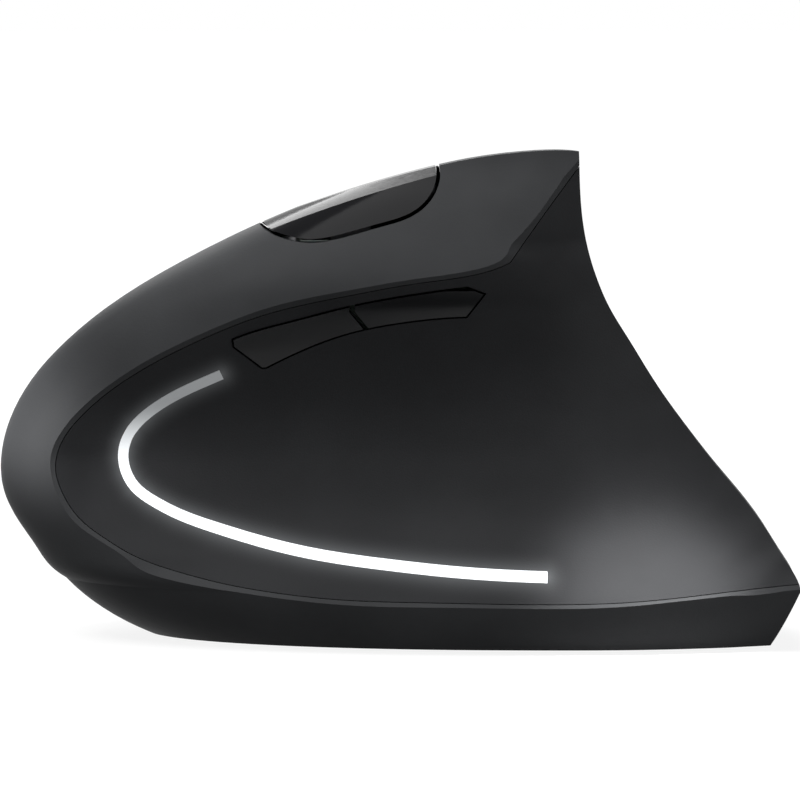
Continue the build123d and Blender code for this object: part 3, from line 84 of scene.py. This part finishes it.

# How the line and its painted glow dim with height: heights of the dim and bright ends, then
# strengths
LINE_DIM = (36 * MM, 24 * MM, 0.12, 1.15)
GLOW_DIM = (38 * MM, 26 * MM, 0.45, 1.0)

# Height of the ridge along the part, z = a + b x + c x x in metres, and the bevel under it
RIDGE_LINE = (0.06975, 0.287, -2.8)
BEVEL_WIDTH = 1.3 * MM
BEVEL_SLOPE = 0.6

# Lips deep in the ridge button's gap, at its two ends, near-black as painted shade: body, y from
# and to, (x, z) outline, all in millimetres
GAP_LIPS = {
    "ridge_gap_lip_front": ("casing", -6.1, -5.1, [
        (-20.62, 62.60), (-20.12, 62.17), (-19.85, 61.98), (-19.29, 61.63), (-19.19, 61.81),
        (-19.72, 62.17), (-19.98, 62.36), (-20.21, 62.57), (-20.47, 62.70),
    ]),
    "ridge_button_lip_front": ("ridge button", -4.9, -3.9, [
        (-20.33, 62.76), (-20.17, 62.61), (-19.93, 62.42), (-19.66, 62.25), (-19.12, 61.94),
        (-19.01, 62.11), (-19.53, 62.43), (-19.78, 62.61), (-20.01, 62.80), (-20.10, 62.84),
    ]),
    "ridge_gap_lip_rear": ("casing", -7.3, -5.3, [
        (5.72, 67.75), (5.84, 68.30), (6.00, 69.00), (6.10, 69.60), (6.12, 70.50), (6.12, 71.20),
        (6.40, 71.26), (6.47, 70.93), (6.52, 70.27), (6.49, 69.61), (6.36, 68.96), (5.93, 67.80),
    ]),
    "ridge_button_lip_rear": ("ridge button", -5.1, -2.8, [
        (5.44, 67.98), (5.86, 69.09), (5.97, 69.68), (5.99, 70.27), (5.95, 70.85), (5.90, 71.20),
        (6.26, 71.24), (6.28, 70.90), (6.30, 70.27), (6.27, 69.70), (6.15, 69.20), (5.75, 68.20),
    ]),
}
LIP_ROUNDING = 0.02 * MM
LIP_SEGMENTS = 2

# Surface detail shared by all materials, and how clear the sensor's lens is
GRAIN_DETAIL = 3.0
GRAIN_DEPTH = 0.05 * MM
MOTTLE_DETAIL = 4.0
TONE_STOPS = (0.3, 0.7)
LENS_CLARITY = 0.9

# Materials: name, colour, roughness, strength of the grain, other looks, CAD nodes that wear it
MATERIALS = [
    ("shell black", (0.044, 0.045, 0.047), 0.48, 0.35, {"spec": 0.03},
     ["main_shell", "palm_shell"]),
    ("click button black", (0.040, 0.041, 0.043), 0.46, 0.3, {"spec": 0.04},
     ["left_button", "right_button"]),
    ("thumb rest rubber", (0.026, 0.0265, 0.028), 0.60, 0.5, {"spec": 0.05, "grain": 3400.0},
     ["thumb_panel"]),
    ("side button black", (0.010, 0.0102, 0.011), 0.30, 0.12, {"spec": 0.2},
     ["front_side_button", "rear_side_button"]),
    ("gloss black", (0.005, 0.005, 0.006), 0.12, 0.0, {"spec": 0.05, "vary": 0.05},
     ["ridge_button"]),
    ("base black", (0.022, 0.022, 0.024), 0.55, 0.5, {}, ["base_plate", "battery_door"]),
    ("glide foot grey", (0.06, 0.06, 0.062), 0.35, 0.1, {}, ["glide_feet"]),
    ("zinc", (0.45, 0.45, 0.47), 0.32, 0.2, {"metal": 1.0, "mottle": 600.0},
     ["case_screws", "board_screws"]),
    ("spring steel", (0.55, 0.55, 0.56), 0.25, 0.1, {"metal": 1.0, "mottle": 500.0},
     ["carrier_pin", "wheel_axle", "battery_springs"]),
    ("nickel plate", (0.62, 0.59, 0.52), 0.3, 0.1, {"metal": 1.0, "mottle": 300.0},
     ["battery_contacts"]),
    ("light guide", (0.30, 0.31, 0.32), 0.35, 0.05, {"vary": 0.03}, ["light_guide"]),
    ("diode", (0.85, 0.82, 0.55), 0.4, 0.05, {}, ["light_diodes"]),
    ("flexible circuit", (0.32, 0.14, 0.03), 0.35, 0.1, {}, ["light_strip_board"]),
    ("circuit board", (0.02, 0.10, 0.045), 0.35, 0.2, {"mottle": 220.0},
     ["main_board", "click_board", "side_board", "ridge_board"]),
    ("chip black", (0.02, 0.02, 0.02), 0.5, 0.3, {}, ["motion_sensor", "sensor_clip"]),
    ("clear lens", (0.9, 0.93, 0.95), 0.06, 0.0, {"vary": 0.02}, ["sensor_lens"]),
    ("switch body", (0.035, 0.035, 0.04), 0.45, 0.2, {},
     [name for name in nodes if name.endswith("_switch")] + ["wheel_encoder"]),
    ("plunger ivory", (0.62, 0.61, 0.57), 0.4, 0.1, {},
     [name for name in nodes if name.endswith("_plunger")] + ["power_slider"]),
    ("inner plastic", (0.06, 0.06, 0.064), 0.5, 0.2, {},
     ["wheel_bracket", "wheel_carrier", "scroll_wheel"]),
    ("wheel rubber", (0.025, 0.025, 0.027), 0.7, 0.5, {}, ["wheel_tyre"]),
    ("cell jacket", (0.05, 0.06, 0.08), 0.3, 0.05, {"metal": 0.3}, ["battery_cells"]),
    ("receiver black", (0.03, 0.03, 0.032), 0.4, 0.25, {}, ["usb_receiver"]),
]
# Material of the gap lips, near-black and matte with little specular: painted shade deep in the
# gap
SHADE_LIP_MATERIAL = ("gap lip painted shade", (0.004, 0.004, 0.004), 0.8, 0.2)
LIP_SPECULAR = 0.02


def camera():
    """The photograph's view."""
    data = bpy.data.cameras.new("camera")
    data.lens = LENS_MM
    data.sensor_width = SENSOR_MM
    data.shift_y = -RISE_PX / FRAME_WIDTH_PX
    data.clip_end = CLIP_END
    eye = bpy.data.objects.new("camera", data)
    scene.collection.objects.link(eye)
    back = Vector((0, -math.cos(ELEVATION), math.sin(ELEVATION)))
    eye.location = AIM + REACH * back
    eye.rotation_euler = back.to_track_quat("Z", "Y").to_euler()
    scene.camera = eye


def hang(data, place, aim):
    """Hangs a light at a place, pointed at another."""
    obj = bpy.data.objects.new(data.name, data)
    scene.collection.objects.link(obj)
    obj.location = place
    obj.rotation_euler = (Vector(place) - Vector(aim)).to_track_quat("Z", "Y").to_euler()


def lights():
    """Soft boxes and keys."""
    for name, place, aim, size, power in LAMPS:
        data = bpy.data.lights.new(name, "AREA")
        data.shape = "RECTANGLE"
        data.size, data.size_y = size
        data.energy = power
        hang(data, place, aim)
    for name, place, aim, cone, power in KEYS:
        data = bpy.data.lights.new(name, "SPOT")
        data.spot_size = math.radians(cone)
        data.spot_blend = KEY_BLEND
        data.shadow_soft_size = KEY_RADIUS
        data.energy = power
        hang(data, place, aim)


def new_material(name):
    """Empty node material and its tree."""
    made = bpy.data.materials.new(name)
    made.use_nodes = True
    made.node_tree.nodes.clear()
    return made, made.node_tree


def operate(tree, node, kind, values):
    """Sets a node's operation and feeds it: sockets are linked, fixed values are set."""
    node.operation = kind
    for value, socket in zip(values, node.inputs):
        if hasattr(value, "links"):
            tree.links.new(value, socket)
        else:
            socket.default_value = value


def vector_math(tree, kind, *values):
    """Outputs of one vector operation."""
    node = tree.nodes.new("ShaderNodeVectorMath")
    operate(tree, node, kind, values)
    return node.outputs


def scalar(tree, kind, *values, clamp=False):
    """Output of one number operation."""
    node = tree.nodes.new("ShaderNodeMath")
    node.use_clamp = clamp
    operate(tree, node, kind, values)
    return node.outputs[0]


def position(tree):
    """Where the shaded point is."""
    return tree.nodes.new("ShaderNodeTexCoord").outputs["Object"]


def x_and_z(tree):
    """How far along the part the shaded point is, and how high."""
    split = tree.nodes.new("ShaderNodeSeparateXYZ")
    tree.links.new(position(tree), split.inputs[0])
    return split.outputs["X"], split.outputs["Z"]


def smooth_run(tree, value, ends):
    """Smooth run between two ends: where the value is at each, then what comes out at each."""
    run = tree.nodes.new("ShaderNodeMapRange")
    run.interpolation_type = "SMOOTHSTEP"
    for name, end in zip(("From Min", "From Max", "To Min", "To Max"), ends):
        run.inputs[name].default_value = end
    tree.links.new(value, run.inputs["Value"])
    return run.outputs[0]


def mixed(tree, share, first, second):
    """Mix of two shaders, by the share of the second."""
    mix = tree.nodes.new("ShaderNodeMixShader")
    for source, socket in zip((share, first.outputs[0], second.outputs[0]), mix.inputs):
        tree.links.new(source, socket)
    return mix.outputs[0]


def background_rays(tree):
    """1 for the rays that show the background: seen straight on, mirrored or through glass."""
    ray = tree.nodes.new("ShaderNodeLightPath").outputs
    share = scalar(tree, "MAXIMUM", ray["Is Camera Ray"], ray["Is Transmission Ray"])
    return scalar(tree, "MAXIMUM", share, ray["Is Glossy Ray"])


def floor_material():
    """Pale floor that whitens away from the object, and that can't be seen from below."""
    mat, tree = new_material("floor")
    shade = tree.nodes.new("ShaderNodeBsdfDiffuse")
    shade.inputs["Color"].default_value = FLOOR_COLOR
    far = vector_math(tree, "LENGTH", position(tree))["Value"]
    lift = smooth_run(tree, far, FLOOR_LIFT)
    white = tree.nodes.new("ShaderNodeEmission")
    strength = scalar(tree, "MULTIPLY", background_rays(tree), lift)
    tree.links.new(strength, white.inputs["Strength"])
    both = tree.nodes.new("ShaderNodeAddShader")
    tree.links.new(shade.outputs[0], both.inputs[0])
    tree.links.new(white.outputs[0], both.inputs[1])
    below = tree.nodes.new("ShaderNodeNewGeometry").outputs["Backfacing"]
    clear = tree.nodes.new("ShaderNodeBsdfTransparent")
    out = tree.nodes.new("ShaderNodeOutputMaterial")
    tree.links.new(mixed(tree, below, both, clear), out.inputs[0])
    return mat


def studio():
    """Pale floor, white surround and lights."""
    bpy.ops.mesh.primitive_plane_add(size=FLOOR_SIZE, location=(0, 0, -FLOOR_DROP))
    floor = bpy.context.object
    floor.name = "floor"
    floor.data.materials.append(floor_material())
    world = bpy.data.worlds.new("world")
    scene.world = world
    world.use_nodes = True
    tree = world.node_tree
    tree.nodes.clear()
    dim = tree.nodes.new("ShaderNodeBackground")
    dim.inputs["Color"].default_value = AMBIENT_COLOR
    dim.inputs["Strength"].default_value = AMBIENT
    bright = tree.nodes.new("ShaderNodeBackground")
    bright.inputs["Color"].default_value = WHITE
    out = tree.nodes.new("ShaderNodeOutputWorld")
    tree.links.new(mixed(tree, background_rays(tree), dim, bright), out.inputs[0])
    lights()
    scene.view_settings.view_transform = "Standard"


def noise(tree, scale, detail):
    """Noise over the surface."""
    made = tree.nodes.new("ShaderNodeTexNoise")
    made.inputs["Scale"].default_value = scale
    made.inputs["Detail"].default_value = detail
    tree.links.new(position(tree), made.inputs["Vector"])
    return made.outputs["Fac"]


def raise_by(shader, height, strength, depth):
    """Bump on a shader's normal."""
    tree = shader.id_data
    bump = tree.nodes.new("ShaderNodeBump")
    bump.inputs["Strength"].default_value = strength
    bump.inputs["Distance"].default_value = depth
    tree.links.new(height, bump.inputs["Height"])
    tree.links.new(bump.outputs["Normal"], shader.inputs["Normal"])


def surface(name, color, rough, bump, metal=0.0, spec=0.5, vary=0.12, grain=2600.0, mottle=60.0):
    """Moulded or machined surface whose tone and gloss wander a little, with a fine grain."""
    mat, tree = new_material(name)
    shader = tree.nodes.new("ShaderNodeBsdfPrincipled")
    shader.inputs["Metallic"].default_value = metal
    shader.inputs["Specular IOR Level"].default_value = spec
    raise_by(shader, noise(tree, grain, GRAIN_DETAIL), bump, GRAIN_DEPTH)
    cloud = noise(tree, mottle, MOTTLE_DETAIL)
    tone = tree.nodes.new("ShaderNodeValToRGB")
    low, high = tone.color_ramp.elements
    low.position, high.position = TONE_STOPS
    low.color = tuple(c * (1 - vary) for c in color) + (1,)
    high.color = tuple(min(1, c * (1 + vary)) for c in color) + (1,)
    gloss = tree.nodes.new("ShaderNodeMapRange")
    gloss.inputs["To Min"].default_value = rough * (1 - vary / 2)
    gloss.inputs["To Max"].default_value = min(1, rough * (1 + vary / 2))
    out = tree.nodes.new("ShaderNodeOutputMaterial")
    tree.links.new(cloud, tone.inputs[0])
    tree.links.new(cloud, gloss.inputs["Value"])
    tree.links.new(tone.outputs[0], shader.inputs["Base Color"])
    tree.links.new(gloss.outputs[0], shader.inputs["Roughness"])
    tree.links.new(shader.outputs[0], out.inputs[0])
    return mat, shader


def add_painted_glow(shader):
    """Painted light round the light line: emission on the surface standing in for the light it
    spills, fading with distance from it.
    """
    tree = shader.id_data
    flat = vector_math(tree, "MULTIPLY", position(tree), (1, 0, 1))["Vector"]
    nearest = None
    for (x0, z0), (x1, z1) in zip(LIGHT_LINE, LIGHT_LINE[1:]):
        along = Vector((x1 - x0, 0, z1 - z0)) * MM
        gap = vector_math(tree, "SUBTRACT", flat, (x0 * MM, 0, z0 * MM))["Vector"]
        unit = tuple(along / along.length_squared)
        step = vector_math(tree, "DOT_PRODUCT", gap, unit)["Value"]
        step = scalar(tree, "ADD", step, 0.0, clamp=True)
        reach = tree.nodes.new("ShaderNodeVectorMath")
        reach.operation = "SCALE"
        reach.inputs[0].default_value = along
        tree.links.new(step, reach.inputs["Scale"])
        far = vector_math(tree, "DISTANCE", gap, reach.outputs["Vector"])["Value"]
        nearest = far if nearest is None else scalar(tree, "MINIMUM", nearest, far)
    fade = scalar(tree, "DIVIDE", nearest, GLOW_REACH)
    fade = scalar(tree, "SUBTRACT", 1.0, fade, clamp=True)
    fade = scalar(tree, "POWER", fade, GLOW_FALL)
    _, height = x_and_z(tree)
    fade = scalar(tree, "MULTIPLY", fade, smooth_run(tree, height, GLOW_DIM))
    strength = scalar(tree, "MULTIPLY", fade, GLOW_STRENGTH)
    tree.links.new(strength, shader.inputs["Emission Strength"])
    shader.inputs["Emission Color"].default_value = GLOW_COLOR


def light_up(shader):
    """Light of the line itself, dimmer towards its upper end."""
    tree = shader.id_data
    _, height = x_and_z(tree)
    strength = smooth_run(tree, height, LINE_DIM)
    tree.links.new(strength, shader.inputs["Emission Strength"])
    shader.inputs["Emission Color"].default_value = LINE_COLOR


def add_bevel(shader):
    """Bevel along the top of the ridge, as a bump that falls away from a line just under it."""
    tree = shader.id_data
    x, z = x_and_z(tree)
    a, b, c = RIDGE_LINE
    slope = scalar(tree, "ADD", scalar(tree, "MULTIPLY", x, c), b)
    ridge = scalar(tree, "ADD", scalar(tree, "MULTIPLY", slope, x), a - BEVEL_WIDTH)
    over = scalar(tree, "MAXIMUM", scalar(tree, "SUBTRACT", z, ridge), 0.0)
    raise_by(shader, scalar(tree, "MULTIPLY", over, -BEVEL_SLOPE), strength=1.0, depth=1.0)


def make_clear(shader):
    """Lets light through."""
    shader.inputs["Transmission Weight"].default_value = LENS_CLARITY


def gap_lips(mat):
    """Lips across both ends of the ridge button's gap, so that no light shows through it; their
    near-black material is painted shade.
    """
    for name, (body, y0, y1, outline) in GAP_LIPS.items():
        made = bmesh.new()
        near, far = (
            [made.verts.new((x * MM, y * MM, z * MM)) for x, z in outline] for y in (y0, y1)
        )
        for i in range(len(outline)):
            j = (i + 1) % len(outline)
            made.faces.new((near[i], near[j], far[j], far[i]))
        made.faces.new(near[::-1])
        made.faces.new(far)
        bmesh.ops.recalc_face_normals(made, faces=made.faces)
        bmesh.ops.bevel(made, geom=made.edges[:], offset=LIP_ROUNDING, segments=LIP_SEGMENTS,
                        affect="EDGES")
        data = bpy.data.meshes.new(name)
        made.to_mesh(data)
        made.free()
        data.materials.append(mat)
        lip = bpy.data.objects.new(name, data)
        scene.collection.objects.link(lip)
        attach(lip, body)


def paint():
    """Materials of every node, and the lips in the gap."""
    extras = {
        # The thumb rest wears painted light: a glow round the light line
        "thumb rest rubber": add_painted_glow,
        "gloss black": add_bevel,
        "light guide": light_up,
        "clear lens": make_clear,
    }
    for name, color, rough, bump, looks, wearers in MATERIALS:
        mat, shader = surface(name, color, rough, bump, **looks)
        if name in extras:
            extras[name](shader)
        for wearer in wearers:
            for slot in nodes[wearer].material_slots:
                slot.material = mat
    # The lips wear painted shade: a near-black matte material
    lip, _ = surface(*SHADE_LIP_MATERIAL, spec=LIP_SPECULAR)
    gap_lips(lip)


camera()
studio()
paint()
